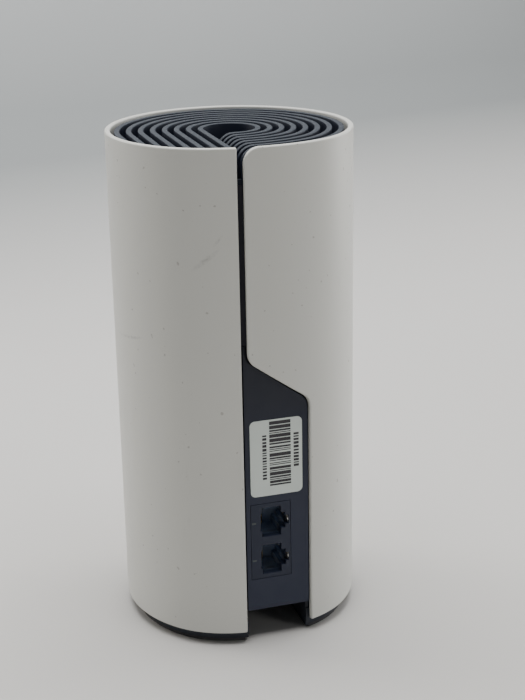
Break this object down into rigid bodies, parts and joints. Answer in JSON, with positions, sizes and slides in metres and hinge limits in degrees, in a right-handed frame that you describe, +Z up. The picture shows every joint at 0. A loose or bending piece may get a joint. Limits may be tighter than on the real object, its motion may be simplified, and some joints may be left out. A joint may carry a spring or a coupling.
{
  "type": "mesh wifi node",
  "caption": "Cylindrical mesh wifi node: white scroll-shaped sleeve with a slit, ridged vent grille on top, dark panel with network sockets, and board, heat sinks and antennas inside.",
  "frame": {"origin": "on the sleeve's axis, at the surface that the node stands on", "axes": "+Z up along the sleeve's axis; the slit, port panel and cable recess face -Y; +X to the right when looking at the ports"},
  "size_m": [0.0908, 0.0886, 0.19],
  "materials": {
    "shell_white": "fine matt moulded finish",
    "grille_grey": "satin moulded finish, darker in the grooves",
    "casing_black": "matt moulded finish",
    "panel_navy": "fine matt moulded finish",
    "label_white": "printed paper label, satin",
    "label_silver": "plain satin polyester label",
    "socket_plastic": "moulded socket plastic",
    "tinned_steel": "tinned sheet steel",
    "gold_contact": "gold-plated contacts",
    "nickel": "nickel plated",
    "lens_clear": "frosted clear plastic",
    "led_white": "lamp package, unlit",
    "jack_black": "moulded black",
    "base_plastic": "matt moulded finish",
    "foot_rubber": "soft matt rubber",
    "button_grey": "satin",
    "switch_black": "moulded",
    "plunger_ivory": "moulded",
    "slider_black": "moulded",
    "pcb_green": "solder mask",
    "antenna_green": "solder mask",
    "chip_black": "moulded chip package",
    "ferrite_grey": "ferrite block",
    "capacitor_sleeve": "printed sleeve",
    "sink_aluminium": "extruded, plain",
    "thermal_pad": "soft silicone",
    "coax_grey": "thin sheath",
    "screw_zinc": "zinc plated"
  },
  "bodies": {
    "node_body": {"outer_shell": "shell_white", "top_grille": "grille_grey", "chassis_front": "casing_black", "chassis_rear": "casing_black", "port_panel": "panel_navy", "inventory_label": "label_white", "rj45_housing": "socket_plastic", "rj45_shield": "tinned_steel", "rj45_contacts_lower": "gold_contact", "rj45_contacts_upper": "gold_contact", "port_leds": "lens_clear", "dc_jack_housing": "jack_black", "dc_jack_contacts": "nickel", "base_cover": "base_plastic", "rubber_foot": "foot_rubber", "rating_label": "label_silver", "reset_switch": "switch_black", "power_switch_body": "tinned_steel", "main_pcb": "pcb_green", "soc_chip": "chip_black", "memory_chips": "chip_black", "radio_chips": "chip_black", "radio_shields": "tinned_steel", "lan_transformers": "chip_black", "power_inductor": "ferrite_grey", "power_capacitors": "capacitor_sleeve", "crystal": "tinned_steel", "heat_sink_left": "sink_aluminium", "heat_sink_right": "sink_aluminium", "thermal_pad_left": "thermal_pad", "thermal_pads_right": "thermal_pad", "status_led": "led_white", "light_pipe": "lens_clear", "antenna_left": "antenna_green", "antenna_right": "antenna_green", "antenna_rear": "antenna_green", "antenna_cable_left": "coax_grey", "antenna_cable_right": "coax_grey", "antenna_cable_rear": "coax_grey", "coax_plugs": "gold_contact", "base_screws": "screw_zinc", "chassis_screws": "screw_zinc", "pcb_screws": "screw_zinc", "grille_screws": "screw_zinc", "heat_sink_screws": "screw_zinc"},
    "reset_button": {"reset_button": "button_grey"},
    "switch_plunger": {"switch_plunger": "plunger_ivory"},
    "power_slider": {"power_slider": "slider_black"}
  },
  "joints": [
    {"name": "reset_press", "type": "slide", "parent": "node_body", "child": "reset_button", "axis": [0, 0, 1], "range_m": [0, 0.0005], "stiffness_N_per_m": 400, "springref_m": -0.0005},
    {"name": "plunger_press", "type": "slide", "parent": "node_body", "child": "switch_plunger", "axis": [0, 0, 1], "range_m": [0, 0.0005]},
    {"name": "power_slide", "type": "slide", "parent": "node_body", "child": "power_slider", "axis": [0, 1, 0], "range_m": [-0.002, 0]}
  ],
  "couplings": [
    {"joint": "plunger_press", "follows": "reset_press", "ratio": 1}
  ]
}
